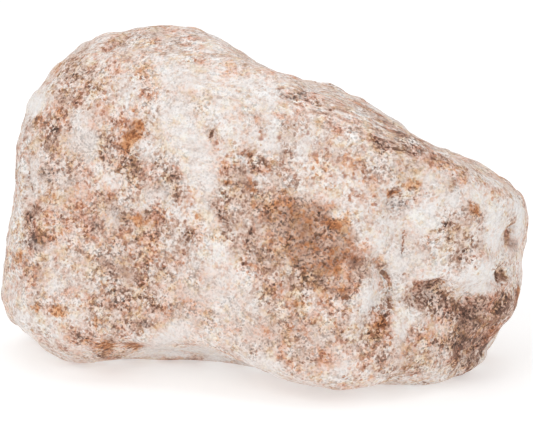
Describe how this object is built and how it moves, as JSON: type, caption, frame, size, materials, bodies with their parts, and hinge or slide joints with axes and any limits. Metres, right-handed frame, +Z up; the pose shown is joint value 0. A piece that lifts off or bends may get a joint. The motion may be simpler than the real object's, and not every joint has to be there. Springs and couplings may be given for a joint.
{
  "type": "rock salt lump",
  "caption": "Natural lump of rock salt, high at one end and sloping to the other, with worn fracture faces, hollows and a crack. Lies on a flat underside as a salt lick or specimen.",
  "frame": {"origin": "centre of the bounding box's bottom, on the flat facet that the lump lies on", "axes": "+X along the length from the high end to the low end, -Y out of the broad mottled front, +Z up"},
  "size_m": [0.165, 0.116, 0.104],
  "materials": {
    "rock_salt": "matte, granular, mottled white, peach and brown"
  },
  "bodies": {
    "root": {"salt_lump": "rock_salt"}
  },
  "joints": []
}
